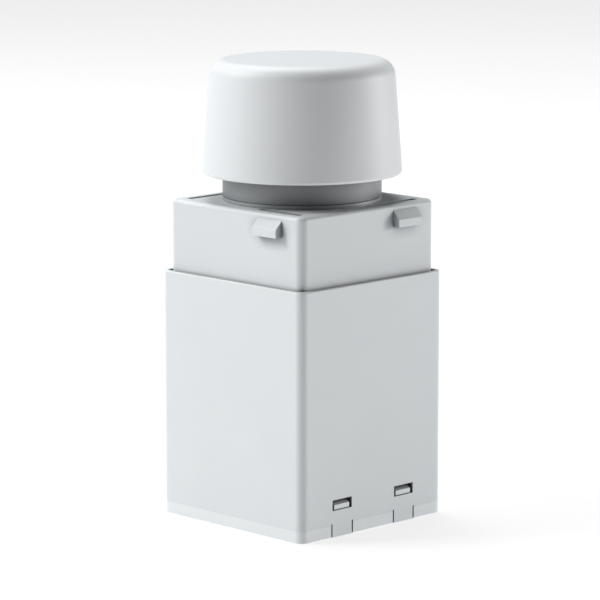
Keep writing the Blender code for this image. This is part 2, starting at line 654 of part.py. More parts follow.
def make_knob():
    """The hollow knob, its hub, the return spring and the clip that holds it on the shaft."""
    arc_steps = 4
    centre_z = KNOB_TOP - KNOB_EDGE_R
    centre_r = knob_side(centre_z) - KNOB_EDGE_R
    profile = [(0, KNOB_TOP)]
    for n in range(arc_steps + 1):
        angle = math.pi / 2 * (1 - n / arc_steps)
        x, z = KNOB_EDGE_R * math.cos(angle), KNOB_EDGE_R * math.sin(angle)
        profile.append((centre_r + x, centre_z + z))
    profile.append((knob_side(KNOB_LOW + KNOB_RIM_R), KNOB_LOW + KNOB_RIM_R))
    profile.append((knob_side(KNOB_LOW) - KNOB_RIM_R * 0.9, KNOB_LOW))
    roof = KNOB_TOP - KNOB_WALL
    ring_outer, ring_inner = 10.6 * MM, HUB_R + SEAT_GAP
    profile.append((knob_side(KNOB_LOW) - KNOB_WALL, KNOB_LOW))
    profile.append((knob_side(roof) - KNOB_WALL - 1.5 * MM, roof - 1.5 * MM))
    profile.append((knob_side(roof) - KNOB_WALL - 3 * MM, roof))
    profile.append((ring_outer, roof))
    profile.append((ring_outer, SPRING_TOP + SEAT_GAP))
    profile.append((ring_inner, SPRING_TOP + SEAT_GAP))
    profile.append((ring_inner, roof))
    profile.append((0, roof))
    turned("knob_cap", profile, KNOB, 48)

    hub = rod("knob_hub", HUB_R, HUB_LOW, roof - SEAT_GAP, ACETAL)
    cut(hub, extruded("hub_hex", [hexagon(SHAFT_TOP_HEX + 2 * RUN_GAP)], HUB_LOW - OVER, KNOB_TOP))
    cut(hub, rod("hub_room", CLIP_R + SEAT_GAP, HUB_SHOULDER, KNOB_TOP))

    clip_low = HUB_SHOULDER + SEAT_GAP
    clip = tube("shaft_clip", CLIP_R, CLIP_GROOVE_R + RUN_GAP, clip_low, clip_low + CLIP_THICK, STEEL)
    mouth = (0, -CLIP_GROOVE_R, clip_low - OVER), (2 * CLIP_R, CLIP_GROOVE_R, clip_low + 2 * OVER)
    cut(clip, box("clip_mouth", *mouth))

    coils, per_turn = 5, 12
    low, high = COLLAR_TOP + SEAT_GAP + SPRING_WIRE_R, SPRING_TOP - SPRING_WIRE_R
    points = []
    for n in range(coils * per_turn + 1):
        turn = math.tau * n / per_turn
        rise = low + (high - low) * n / (coils * per_turn)
        points.append((SPRING_R * math.cos(turn), SPRING_R * math.sin(turn), rise))
    wire("return_spring", points, SPRING_WIRE_R, resolution=1)


# ---------------------------------------------------------------- drive train
def make_drive():
    """The drive shaft, the threaded nut and its gear, which turn together."""
    low_hex = [hexagon(SHAFT_LOW_HEX)]
    shaft_low = STEM_TOP + 1.9 * MM
    shoulder_top = DECK_LOW - DECK_BUSH_DEPTH - SEAT_GAP
    shaft = rod("drive_shaft", SHAFT_R, NUT_TOP + OVER, COLLAR_TOP, STEEL)
    join(shaft, extruded("low_hex", low_hex, shaft_low, NUT_TOP + 2 * OVER))
    join(shaft, extruded("top_hex", [hexagon(SHAFT_TOP_HEX)], COLLAR_TOP - OVER, SHAFT_TOP))
    join(shaft, rod("shaft_shoulder", 6 * MM, shoulder_top - 1.5 * MM, shoulder_top))
    groove_low = HUB_SHOULDER + SEAT_GAP - RUN_GAP
    groove = groove_low, groove_low + CLIP_THICK + 2 * RUN_GAP
    cut(shaft, tube("clip_groove", SHAFT_TOP_HEX, CLIP_GROOVE_R, *groove))

    seat_low = LOWER_PLATE_Z + PLATE_THICK + SEAT_GAP
    seat_high = NUT_GEAR_Z + NUT_GEAR_WIDTH + SEAT_GAP
    thrust_high = UPPER_PLATE_Z - BUSH_FLANGE_THICK - 2 * SEAT_GAP
    thrust_low = thrust_high - 1.1 * MM
    profile = [
        (0, NUT_TOP),
        (NUT_TOP_R, NUT_TOP),
        (NUT_TOP_R, thrust_high),
        (NUT_R + 2.5 * MM, thrust_high),
        (NUT_R + 2.5 * MM, thrust_low),
        (NUT_TOP_R, thrust_low),
        (NUT_TOP_R, seat_high + 0.8 * MM),
        (NUT_SEAT_R + 2 * MM, seat_high + 0.8 * MM),
        (NUT_SEAT_R + 2 * MM, seat_high),
        (NUT_SEAT_R, seat_high),
        (NUT_SEAT_R, seat_low),
        (NUT_R, seat_low),
        (NUT_R, LOWER_PLATE_Z + RUN_GAP),
        (0, LOWER_PLATE_Z + RUN_GAP),
    ]
    nut = turned("drive_nut", profile, BRASS)
    cut(nut, rod("nut_bore", NUT_BORE_R, LOWER_PLATE_Z - OVER, STEM_TOP + 2 * SEAT_GAP))
    cut(nut, rod("air_hole", 2 * MM, STEM_TOP, NUT_TOP, steps=12))
    socket = [hexagon(SHAFT_LOW_HEX + 2 * RUN_GAP)]
    cut(nut, extruded("nut_hex", socket, shaft_low - SEAT_GAP, NUT_TOP + OVER))
    towards = direction(Vector((0, 0)), IDLER_AT)
    gear("drive_gear", NUT_TEETH, towards, NUT_SEAT_R + RUN_GAP, NUT_GEAR_Z, NUT_GEAR_WIDTH, (0, 0, 0), ACETAL)


def make_stem():
    """The output stem, with its flats and round thread, and the foot that meets the valve pin."""
    flats = [double_d(STEM_R, STEM_FLAT)]
    stem = extruded("output_stem", flats, STEM_LOW, STEM_THREAD_LOW, STEEL)
    join(stem, rod("thread_core", THREAD_CORE_R, STEM_THREAD_LOW - OVER, STEM_TOP, steps=16))
    thread = wire("thread_coil", thread_points(), 0.75 * MM, resolution=0)
    bpy.context.view_layer.update()
    evaluated = thread.evaluated_get(bpy.context.evaluated_depsgraph_get())
    mesh = bpy.data.meshes.new_from_object(evaluated)
    bpy.data.objects.remove(thread)
    solid = bmesh.new()
    solid.from_mesh(mesh)
    bmesh.ops.remove_doubles(solid, verts=solid.verts, dist=MERGE)
    bmesh.ops.recalc_face_normals(solid, faces=solid.faces)
    solid.to_mesh(mesh)
    solid.free()
    join(stem, link("thread_ridge", mesh, None))
    foot_top = STEM_LOW - SEAT_GAP
    edge = 0.5 * MM
    profile = [
        (0, foot_top),
        (FOOT_R - edge, foot_top),
        (FOOT_R, foot_top - edge),
        (FOOT_R, foot_top - FOOT_THICK + edge),
        (FOOT_R - edge, foot_top - FOOT_THICK),
        (0, foot_top - FOOT_THICK),
    ]
    turned("pressure_foot", profile, STEEL)


def thread_points():
    """The helix of the stem's thread."""
    per_turn = 12
    low, high = STEM_THREAD_LOW + OVER, STEM_TOP - OVER
    count = round((high - low) / THREAD_LEAD * per_turn)
    points = []
    for n in range(count + 1):
        turn = math.tau * n / per_turn
        rise = low + THREAD_LEAD * n / per_turn
        points.append((THREAD_CORE_R * math.cos(turn), THREAD_CORE_R * math.sin(turn), rise))
    return points


def make_idler():
    """The idler: a pinion that meets the drive gear and a wheel that meets the motor's pinion."""
    back = direction(IDLER_AT, Vector((0, 0)))
    bore_r = IDLER_PIN_R + RUN_GAP
    pinion_low = NUT_GEAR_Z - 0.5 * MM
    pinion_width = IDLER_GEAR_Z - SEAT_GAP - pinion_low
    half_gap = math.pi / IDLER_PINION_TEETH
    gear("idler_pinion", IDLER_PINION_TEETH, back + half_gap, bore_r, pinion_low, pinion_width, IDLER_AT, ACETAL)
    on_to_motor = direction(IDLER_AT, MOTOR_AT)
    gear("idler_gear", IDLER_TEETH, on_to_motor, bore_r, IDLER_GEAR_Z, IDLER_GEAR_WIDTH, IDLER_AT, ACETAL)
    top = UPPER_PLATE_Z + PLATE_THICK
    rod("idler_pin", IDLER_PIN_R, LOWER_PLATE_Z, top, STEEL, 16, IDLER_AT)


def make_motor():
    """The geared motor: its can with two ears, shaft, pinion and fixing screws."""
    low = UPPER_PLATE_Z + PLATE_THICK + SEAT_GAP
    edge = 0.8 * MM
    profile = [
        (0, low + MOTOR_HEIGHT),
        (MOTOR_R - edge, low + MOTOR_HEIGHT),
        (MOTOR_R, low + MOTOR_HEIGHT - edge),
        (MOTOR_R, low),
        (MOTOR_BOSS_R, low),
        (MOTOR_BOSS_R, UPPER_PLATE_Z + SEAT_GAP),
        (0, UPPER_PLATE_Z + SEAT_GAP),
    ]
    can = turned("motor_case", profile, STEEL, centre=MOTOR_AT)
    ear_half = 3.4 * MM
    low_corner = (MOTOR_AT.x - ear_half, MOTOR_AT.y - MOTOR_EAR - ear_half, low)
    high_corner = (MOTOR_AT.x + ear_half, MOTOR_AT.y + MOTOR_EAR + ear_half, low + MM)
    join(can, box("motor_ears", low_corner, high_corner))
    shaft_top = low + 5 * MM
    cut(can, rod("rotor_hole", MOTOR_SHAFT_R + RUN_GAP, low - 3 * MM, shaft_top, steps=16, centre=MOTOR_AT))
    pinion_low = IDLER_GEAR_Z - 0.3 * MM
    rod("motor_shaft", MOTOR_SHAFT_R, pinion_low - 0.3 * MM, shaft_top - 0.5 * MM, STEEL, 16, MOTOR_AT)
    back = direction(MOTOR_AT, IDLER_AT) + math.pi / MOTOR_TEETH
    width = IDLER_GEAR_WIDTH + 0.8 * MM
    gear("motor_pinion", MOTOR_TEETH, back, MOTOR_SHAFT_R + RUN_GAP, pinion_low, width, MOTOR_AT, BRASS)
    for number, side in enumerate((-1, 1), 1):
        at = MOTOR_AT + Vector((0, side * MOTOR_EAR, 0))
        cut(can, rod("ear_hole", 1.1 * MM, low - OVER, low + 2 * OVER, steps=12, centre=at))
        head_low = low + MM + SEAT_GAP
        screw_profile = [
            (0, head_low + 1.2 * MM),
            (1.9 * MM, head_low + 1.2 * MM),
            (1.9 * MM, head_low),
            (0.95 * MM, head_low),
            (0.95 * MM, UPPER_PLATE_Z - OVER),
            (0, UPPER_PLATE_Z - OVER),
        ]
        turned(f"motor_screw_{number}", screw_profile, STEEL, 12, at)


# ---------------------------------------------------------------- gear frame
def make_frame():
    """Two plates, four spacers, four through screws and the drive nut's bearings."""
    corner_r = 2 * MM
    outline = rounded_square(PLATE_HALF, corner_r, 3)
    common = [outline, circle(BUSH_R + 0.2 * MM, 32), circle(IDLER_PIN_R + 0.1 * MM, 16, IDLER_AT)]
    common += [circle(SCREW_HOLE_R, 16, at) for at in POSTS]
    extruded("gear_plate_lower", common, LOWER_PLATE_Z, LOWER_PLATE_Z + PLATE_THICK, STEEL)
    ears = [MOTOR_AT + Vector((0, side * MOTOR_EAR, 0)) for side in (-1, 1)]
    upper = common + [circle(MOTOR_BOSS_R + 0.2 * MM, 24, MOTOR_AT)] + [circle(1.1 * MM, 12, at) for at in ears]
    extruded("gear_plate_upper", upper, UPPER_PLATE_Z, UPPER_PLATE_Z + PLATE_THICK, STEEL)
    spacer_low = LOWER_PLATE_Z + PLATE_THICK + SEAT_GAP
    head = SCREW_HEAD_HEIGHT + SEAT_GAP
    for number, at in enumerate(POSTS, 1):
        spacer = f"plate_spacer_{number}"
        tube(spacer, POST_R, SCREW_HOLE_R, spacer_low, UPPER_PLATE_Z - SEAT_GAP, STEEL, 16, at)
        profile = [
            (0, SCREW_TOP),
            (SCREW_R, SCREW_TOP),
            (SCREW_R, head),
            (SCREW_HEAD_R, head),
            (SCREW_HEAD_R, SEAT_GAP),
            (0, SEAT_GAP),
        ]
        screw = turned(f"through_screw_{number}", profile, STEEL, 16, at)
        depth = 1.2 * MM
        recess = [circle(1.35 * MM, 6)]
        drive = Matrix.Translation(at)
        cut(screw, extruded("screw_recess", recess, -OVER, SEAT_GAP + depth, matrix=drive))
    make_bush("lower_bearing", NUT_R, LOWER_PLATE_Z)
    make_bush("upper_bearing", NUT_TOP_R, UPPER_PLATE_Z)


def make_bush(name, journal_r, plate_low):
    """A flanged bush, its flange under the plate."""
    flange_top = plate_low - SEAT_GAP
    top = plate_low + PLATE_THICK
    flange_low = flange_top - BUSH_FLANGE_THICK
    bore_r = journal_r + RUN_GAP
    profile = [
        (BUSH_R, top),
        (BUSH_R, flange_top),
        (BUSH_FLANGE_R, flange_top),
        (BUSH_FLANGE_R, flange_low),
        (bore_r, flange_low),
        (bore_r, top),
    ]
    turned(name, profile, ACETAL, closed=True)


# ---------------------------------------------------------------- electrics
def make_electrics():
    """The circuit board with its components, and the cable socket behind the sleeve's opening."""
    board_x = -HOUSING_INNER + 0.6 * MM
    face = board_x + BOARD_THICK
    box("circuit_board", (board_x, -BOARD_HALF, BOARD_LOW), (face, BOARD_HALF, BOARD_TOP), BOARD)
    near = face + SEAT_GAP
    low = BOARD_LOW + 2 * MM
    box("board_header", (near, -8 * MM, low), (near + 6 * MM, 8 * MM, low + 5 * MM), COLLAR)
    low = BOARD_LOW + 10 * MM
    box("relay", (near, 3 * MM, low), (near + 10 * MM, 15 * MM, low + 12 * MM), BLACK)
    low = BOARD_LOW + 12 * MM
    box("driver_chip", (near, -9 * MM, low), (near + 1.6 * MM, -2 * MM, low + 9 * MM), BLACK)
    can = rod("capacitor", 5 * MM, 0, 11 * MM, BLACK, 24)
    can.matrix_world = along_x((near, -8 * MM, BOARD_TOP - 10 * MM))

    half_w, half_h = PLUG_WIDTH / 2, PLUG_HEIGHT / 2
    outer = -SLEEVE_INNER + SEAT_GAP
    low = (outer, -half_w, PLUG_CENTRE_Z - half_h)
    high = (outer + PLUG_DEPTH, half_w, PLUG_CENTRE_Z + half_h)
    shroud = box("cable_socket", low, high, BLACK)
    mouth_low = (outer - OVER, -half_w + PLUG_WALL, PLUG_CENTRE_Z - half_h + PLUG_WALL)
    mouth_high = (outer + PLUG_DEPTH - 2 * MM, half_w - PLUG_WALL, PLUG_CENTRE_Z + half_h - PLUG_WALL)
    cut(shroud, box("plug_mouth", mouth_low, mouth_high))
    for number, offset in enumerate((-4, 0, 4), 1):
        at = Vector((outer + 2.5 * MM, offset * MM, PLUG_CENTRE_Z))
        drill = rod("pin_hole", 0.75 * MM, -OVER, PLUG_DEPTH, steps=12)
        drill.matrix_world = along_x(at)
        cut(shroud, drill)
        pin = rod(f"contact_pin_{number}", 0.6 * MM, 0, PLUG_DEPTH - 3 * MM, BRASS, 12)
        pin.matrix_world = along_x(at)


make_base_plate()
make_socket_fittings()
make_sleeve()
make_housing()
make_collar()
make_knob()
make_drive()
make_stem()
make_idler()
make_motor()
make_frame()
make_electrics()
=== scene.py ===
"""Looks for the motorised actuator head: finer shells, finishes, studio, lights and camera.

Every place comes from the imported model, in metres, with +Z up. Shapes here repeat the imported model's
outlines with finer arcs and eased edges, and each stands for the plain node that it is named after.
"""

import math

import bmesh
import bpy
from mathutils import Matrix, Vector


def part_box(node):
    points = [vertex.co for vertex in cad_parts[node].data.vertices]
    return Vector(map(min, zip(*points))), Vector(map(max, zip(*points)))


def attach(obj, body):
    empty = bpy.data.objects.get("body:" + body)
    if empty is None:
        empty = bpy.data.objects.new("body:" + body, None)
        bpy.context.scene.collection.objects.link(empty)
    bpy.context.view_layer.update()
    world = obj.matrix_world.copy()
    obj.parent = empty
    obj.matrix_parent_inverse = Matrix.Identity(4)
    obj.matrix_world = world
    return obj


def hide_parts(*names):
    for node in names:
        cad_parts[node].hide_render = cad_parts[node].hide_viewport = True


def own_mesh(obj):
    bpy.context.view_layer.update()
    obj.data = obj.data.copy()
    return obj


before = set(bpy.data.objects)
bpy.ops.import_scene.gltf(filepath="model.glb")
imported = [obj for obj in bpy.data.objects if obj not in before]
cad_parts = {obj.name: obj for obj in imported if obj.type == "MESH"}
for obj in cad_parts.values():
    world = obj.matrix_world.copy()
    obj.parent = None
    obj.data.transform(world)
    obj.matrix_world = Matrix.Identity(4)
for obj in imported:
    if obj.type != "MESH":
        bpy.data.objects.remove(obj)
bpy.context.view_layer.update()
MM = 0.001

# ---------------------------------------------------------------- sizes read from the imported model
sleeve_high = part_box("outer_sleeve")[1]
housing_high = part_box("upper_housing")[1]
collar_low, collar_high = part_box("neck_collar")
knob_low, knob_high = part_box("knob_cap")

HALF = sleeve_high.x
CORNER_R = 2.7 * MM
SLEEVE_WALL = 1.5 * MM
SLEEVE_INNER = HALF - SLEEVE_WALL
SEAT_GAP = 0.3 * MM
HOUSING_HALF = SLEEVE_INNER - SEAT_GAP
HOUSING_INNER = HOUSING_HALF - 2.4 * MM
COLLAR_R = collar_high.x
COLLAR_LOW = collar_low.z
COLLAR_TOP = collar_high.z
DECK = COLLAR_LOW - SEAT_GAP - 1.2 * MM
DECK_LOW = DECK - 2.2 * MM
HOUSING_LOW = sleeve_high.z - 12.6 * MM
BAND = 3.7 * MM
BAND_TOP = BAND + 0.02 * MM
TAB_WIDTH = 8.1 * MM
TAB_CENTRE = 13.1 * MM
TAB_SLIT = 0.5 * MM
SLIT_TOP = BAND + 0.35 * MM
HOOK_HALF = 3.2 * MM
WINDOW = 8.0 * MM, 11.2 * MM
SOCKET_R = 18.0 * MM
SOCKET_DEPTH = 16.0 * MM
ROOF_TOP = 18.6 * MM
GUIDE_R = 6.8 * MM
POST_AT = HALF - 5.6 * MM
POST_R = 2.9 * MM
SCREW_HOLE_R = 1.65 * MM
HEAD_POCKET_R = 3.2 * MM
HEAD_POCKET_TOP = 2.6 * MM
ROOT = BAND - 0.1 * MM  # where what stands on the band starts, just inside it
TUB_TOP = BAND + 10.3 * MM
TUB_WALL = 1.6 * MM
BEARING_R = 6.15 * MM  # the hole in the deck for the drive shaft's bush
CATCH_CENTRE = 15 * MM
TAB_SPOTS = [(side, centre) for side in (0, 2) for centre in (-TAB_CENTRE, TAB_CENTRE)]
POSTS = [(x * POST_AT, y * POST_AT) for x, y in ((1, 1), (-1, 1), (-1, -1), (1, -1))]
EASE = 0.14 * MM  # radius left on moulded edges
SAME_POINT = 1e-7  # points this close are one
ARC = 14  # steps in a quarter of a vertical corner


# ---------------------------------------------------------------- mesh tools
def new_mesh(name, points, faces):
    """A mesh from points and faces, its normals facing out."""
    solid = bmesh.new()
    corners = [solid.verts.new(p) for p in points]
    for face in faces:
        solid.faces.new([corners[i] for i in face])
    bmesh.ops.remove_doubles(solid, verts=solid.verts, dist=SAME_POINT)
    bmesh.ops.recalc_face_normals(solid, faces=solid.faces)
    mesh = bpy.data.meshes.new(name)
    solid.to_mesh(mesh)
    solid.free()
    return mesh


def corner_square(half, radius, steps=ARC):
    """The outline of a square with rounded corners."""
    radius = max(radius, 0.05 * MM)
    points = []
    for quarter in range(4):
        for n in range(steps + 1):
            angle = math.pi / 2 * (quarter + n / steps)
            turn = math.pi / 2 * quarter
            c, s = round(math.cos(turn)), round(math.sin(turn))
            mid = (half - radius) * (c - s), (half - radius) * (s + c)
            points.append((mid[0] + radius * math.cos(angle), mid[1] + radius * math.sin(angle)))
    return points


def stacked(name, loops, closed=False):
    """A skin over a stack of outlines (points, height), capped at both ends or closed on itself."""
    count = len(loops[0][0])
    points = [(x, y, z) for outline, z in loops for x, y in outline]
    levels = range(len(loops) if closed else len(loops) - 1)
    faces = []
    for level in levels:
        above = (level + 1) % len(loops)
        for n in range(count):
            m = (n + 1) % count
            faces.append((level * count + n, level * count + m, above * count + m, above * count + n))
    if not closed:
        faces.append(tuple(range(count)))
        faces.append(tuple(range((len(loops) - 1) * count, len(loops) * count)))
    return new_mesh(name, points, faces)


def shell(name, half, corner, section, closed=False):
    """A square shell: its section lists (inset from the outer face, height)."""
    loops = [(corner_square(half - inset, corner - inset), z) for inset, z in section]
    return stacked(name, loops, closed)


def turned(name, profile, steps=96, at=(0, 0), closed=False):
    """A shape turned about Z. Its profile lists (radius, height)."""
    points, faces = [], []
    for n in range(steps):
        c, s = math.cos(math.tau * n / steps), math.sin(math.tau * n / steps)
        points += [(at[0] + r * c, at[1] + r * s, z) for r, z in profile]
    count = len(profile)
    for n in range(steps):
        m = (n + 1) % steps
        for i in range(count if closed else count - 1):
            j = (i + 1) % count
            faces.append((n * count + i, n * count + j, m * count + j, m * count + i))
    return new_mesh(name, points, faces)


def drill(name, radius, top, low, steps, at=(0, 0)):
    """A plain cylinder to cut a hole with."""
    return turned(name, [(0, top), (radius, top), (radius, low), (0, low)], steps, at)


def rounded(corners, radius, steps=5):
    """A closed section with each corner rounded. A corner is (x, y) or (x, y, its own radius)."""
    points = []
    count = len(corners)
    for n, corner in enumerate(corners):
        here = Vector(corner[:2])
        before = Vector(corners[n - 1][:2]) - here
        after = Vector(corners[(n + 1) % count][:2]) - here
        own = corner[2] if len(corner) > 2 else radius
        between = before.angle(after)
        nearly_straight = math.radians(176)
        if own <= 0 or between > nearly_straight:
            points.append(tuple(here))
            continue
        most = 0.49 * min(before.length, after.length)  # so that two roundings on one side never meet
        reach = min(own / math.tan(between / 2), most)
        own = reach * math.tan(between / 2)
        start, end = here + before.normalized() * reach, here + after.normalized() * reach
        inwards = (before.normalized() + after.normalized()).normalized()
        middle = here + inwards * (own / math.sin(between / 2))
        a, b = start - middle, end - middle
        sweep = a.angle(b)
        for k in range(steps + 1):
            t = k / steps
            blend = (a * math.sin((1 - t) * sweep) + b * math.sin(t * sweep)) / math.sin(sweep)
            points.append(tuple(middle + blend))
    return points


def extruded(name, outline, low, high):
    """A flat outline given thickness along Z."""
    return stacked(name, [(outline, low), (outline, high)])


def block(name, low, high):
    """A block between two corners, used to cut with or to be eased."""
    (x0, y0, z0), (x1, y1, z1) = low, high
    return extruded(name, [(x0, y0), (x1, y0), (x1, y1), (x0, y1)], z0, z1)


def moved(mesh, matrix):
    """The mesh, moved in place."""
    mesh.transform(matrix)
    return mesh


def evaluated(mesh, add_modifiers):
    """A new mesh with some modifiers applied to it."""
    guide = bpy.data.objects.new("guide", mesh)
    bpy.context.scene.collection.objects.link(guide)
    add_modifiers(guide)
    graph = bpy.context.evaluated_depsgraph_get()
    graph.update()
    made = bpy.data.meshes.new_from_object(guide.evaluated_get(graph), depsgraph=graph)
    bpy.data.objects.remove(guide)
    return made


def carved(mesh, cutters, operation="DIFFERENCE"):
    """The mesh with each cutter taken out of it, or joined to it."""
    held = []

    def add(guide):
        for cutter in cutters:
            tool = bpy.data.objects.new("tool", cutter)
            bpy.context.scene.collection.objects.link(tool)
            held.append(tool)
            step = guide.modifiers.new("cut", "BOOLEAN")
            step.operation = operation
            step.solver = "EXACT"
            step.object = tool

    made = evaluated(mesh, add)
    for tool in held:
        bpy.data.objects.remove(tool)
    return made


def eased(mesh, width=EASE, segments=2, angle=40):
    """The mesh with its sharp edges rounded, as a mould leaves them."""

    def add(guide):
        bevel = guide.modifiers.new("ease", "BEVEL")
        bevel.width = width
        bevel.segments = segments
        bevel.limit_method = "ANGLE"
        bevel.angle_limit = math.radians(angle)
        bevel.use_clamp_overlap = True

    return evaluated(mesh, add)


def together(name, meshes):
    """One mesh that holds several closed shapes, each as it is."""
    solid = bmesh.new()
    for mesh in meshes:
        solid.from_mesh(mesh)
    made = bpy.data.meshes.new(name)
    solid.to_mesh(made)
    solid.free()
    return made


def turn(quarters):
    """An exact turn about Z by right angles."""
    c, s = ((1, 0), (0, 1), (-1, 0), (0, -1))[quarters % 4]
    return Matrix(((c, -s, 0, 0), (s, c, 0, 0), (0, 0, 1, 0), (0, 0, 0, 1)))


def face_block(name, side, x, y, z):
    """A block at one of the four side faces, from (low, high) pairs. X runs outwards and Y along the face."""
    low, high = zip(x, y, z)
    return moved(block(name, low, high), turn(side))


def about(centre, half):
    """The (low, high) pair that reaches as far to each side of a centre."""
    return centre - half, centre + half


def upright(place):
    """Stands an outline up: its Y becomes Z and its thickness runs along Y."""
    x, y, z = place
    return Matrix(((1, 0, 0, x), (0, 0, -1, y), (0, 1, 0, z), (0, 0, 0, 1)))


def show(name, mesh, body, finish, nodes=(), sharp=42, even=True):
    """Shows a mesh as a piece: smooth shaded, riding on its body, in place of its plain nodes."""
    made = bpy.data.objects.new(name, mesh)
    bpy.context.scene.collection.objects.link(made)
    mesh.materials.clear()
    mesh.materials.append(finish)
    mesh.shade_smooth()
    mesh.set_sharp_from_angle(angle=math.radians(sharp))
    if even:
        weights = made.modifiers.new("even_shading", "WEIGHTED_NORMAL")
        weights.keep_sharp = True
        weights.weight = 80
    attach(made, body)
    if nodes:
        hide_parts(*nodes)
    return made


# ---------------------------------------------------------------- finishes
def linear(code):
    """An sRGB hex colour as linear RGBA."""
    channels = [int(code[i : i + 2], 16) / 255 for i in (1, 3, 5)]
    curve = [c / 12.92 if c <= 0.04045 else ((c + 0.055) / 1.055) ** 2.4 for c in channels]
    return (*curve, 1.0)


def add(tree, kind, links=(), values=(), **settings):
    """Adds a node. Links feed its inputs, values fix them, and settings are its own properties."""
    made = tree.nodes.new("ShaderNode" + kind)
    for key, value in settings.items():
        setattr(made, key, value)
    for socket, amount in dict(values).items():
        made.inputs[socket].default_value = amount
    for socket, source in dict(links).items():
        tree.links.new(source, made.inputs[socket])
    return made


def finish_of(name, roughness, metallic=0.0, **fixed):
    """A new material and its Principled shader, with what is the same all over set on its sockets."""
    material = bpy.data.materials.new(name)
    material.use_nodes = True
    shader = material.node_tree.nodes["Principled BSDF"]
    shader.inputs["Roughness"].default_value = roughness
    shader.inputs["Metallic"].default_value = metallic
    for socket, amount in fixed.items():
        shader.inputs[socket.replace("_", " ")].default_value = amount
    return material, material.node_tree, shader


def ramp(tree, source, stops):
    """A colour ramp over a factor, with (place, hex colour) stops."""
    made = add(tree, "ValToRGB", {"Fac": source})
    elements = made.color_ramp.elements
    while len(elements) < len(stops):
        elements.new(0.5)
    for element, (place, code) in zip(elements, stops):
        element.position = place
        element.color = linear(code)
    return made.outputs["Color"]


def gloss_from(tree, shader, pattern, low, high, spread=(0.0, 1.0)):
    """Lets a pattern, over its spread of values, swing the roughness between two values."""
    limits = {"From Min": spread[0], "From Max": spread[1], "To Min": low, "To Max": high}
    gloss = add(tree, "MapRange", {"Value": pattern}, limits).outputs["Result"]
    tree.links.new(gloss, shader.inputs["Roughness"])


def bump_from(tree, shader, pattern, strength, depth):
    """Lets a pattern stand up from the surface, by a depth in metres."""
    bump = add(tree, "Bump", {"Height": pattern}, {"Strength": strength, "Distance": depth})
    tree.links.new(bump.outputs["Normal"], shader.inputs["Normal"])


def moulded_plastic(name, pale, deep, roughness, grit, depth, ior=1.54, swing=0.05, joints=None):
    """Moulded plastic off a spark-eroded tool: a fine even grain in the gloss, and a hardly visible drift of
    colour where the melt flowed. Painted shade darkens the base colour in joints, gaps, inner corners and
    under overhangs, from an occlusion term. Grit is the grain's size and depth its height."""
    material, tree, shader = finish_of(name, roughness, IOR=ior)
    place = add(tree, "TexCoord").outputs["Object"]
    flow = 18 * MM
    drift = add(
        tree, "TexNoise", {"Vector": place}, {"Scale": 1 / flow, "Detail": 2.0, "Roughness": 0.5}
    ).outputs["Fac"]
    colour = ramp(tree, drift, ((0.3, deep), (0.7, pale)))
    # Painted shade: an occlusion term over this reach multiplies the base colour darker where the surface is
    # closed in.
    reach, alone, deepest, middle, outer = joints or FOOT_PAINTED_SHADE
    openness = add(
        tree, "AmbientOcclusion", values={"Distance": reach}, samples=12, only_local=alone
    ).outputs["AO"]
    painted_shade_tone = ramp(tree, openness, ((0.0, deepest), (0.4, middle), (0.8, outer), (1.0, "#FFFFFF")))
    # On a Mix node of colours, input 0 is the factor, 6 and 7 are the colours, and output 2 is the result.
    shaded = add(
        tree, "Mix", {6: colour, 7: painted_shade_tone}, {0: 1.0}, data_type="RGBA", blend_type="MULTIPLY"
    )
    tree.links.new(shaded.outputs[2], shader.inputs["Base Color"])
    grain = add(
        tree, "TexNoise", {"Vector": place}, {"Scale": 1 / grit, "Detail": 3.0, "Roughness": 0.62}
    ).outputs["Fac"]
    gloss_from(tree, shader, grain, roughness - swing, roughness + swing, (0.3, 0.7))
    bump_from(tree, shader, grain, 0.35, depth)
    return material


def turned_metal(name, pale, deep, roughness, pitch, metallic=1.0):
    """Metal turned on a lathe or rolled: fine rings across its axis that catch the light in bands."""
    material, tree, shader = finish_of(name, roughness, metallic)
    place = add(tree, "TexCoord").outputs["Object"]
    rings = add(
        tree,
        "TexWave",
        {"Vector": place},
        {"Scale": 1 / (20 * pitch), "Distortion": 0.6, "Detail": 2.0, "Detail Scale": 1.5},
        wave_type="BANDS",
        bands_direction="Z",
    ).outputs["Fac"]
    patch = 4 * MM
    cloud = add(tree, "TexNoise", {"Vector": place}, {"Scale": 1 / patch, "Detail": 4.0}).outputs["Fac"]
    tree.links.new(ramp(tree, cloud, ((0.3, deep), (0.7, pale))), shader.inputs["Base Color"])
    gloss_from(tree, shader, rings, roughness - 0.06, roughness + 0.1)
    bump_from(tree, shader, rings, 0.25, 0.01 * MM)
    return material


def zinc_plate(name):
    """Rolled steel, zinc plated: a soft grey with a faint crystal mottle."""
    material, tree, shader = finish_of(name, 0.38, 1.0)
    place = add(tree, "TexCoord").outputs["Object"]
    crystal = 1.6 * MM
    crystals = add(
        tree, "TexVoronoi", {"Vector": place}, {"Scale": 1 / crystal, "Randomness": 1.0}, feature="F1"
    ).outputs["Color"]
    shade = add(tree, "RGBToBW", {"Color": crystals}).outputs["Val"]
    tree.links.new(ramp(tree, shade, ((0.2, "#A9ACAD"), (0.8, "#BFC2C2"))), shader.inputs["Base Color"])
    gloss_from(tree, shader, shade, 0.3, 0.46)
    bump_from(tree, shader, shade, 0.15, 0.01 * MM)
    return material


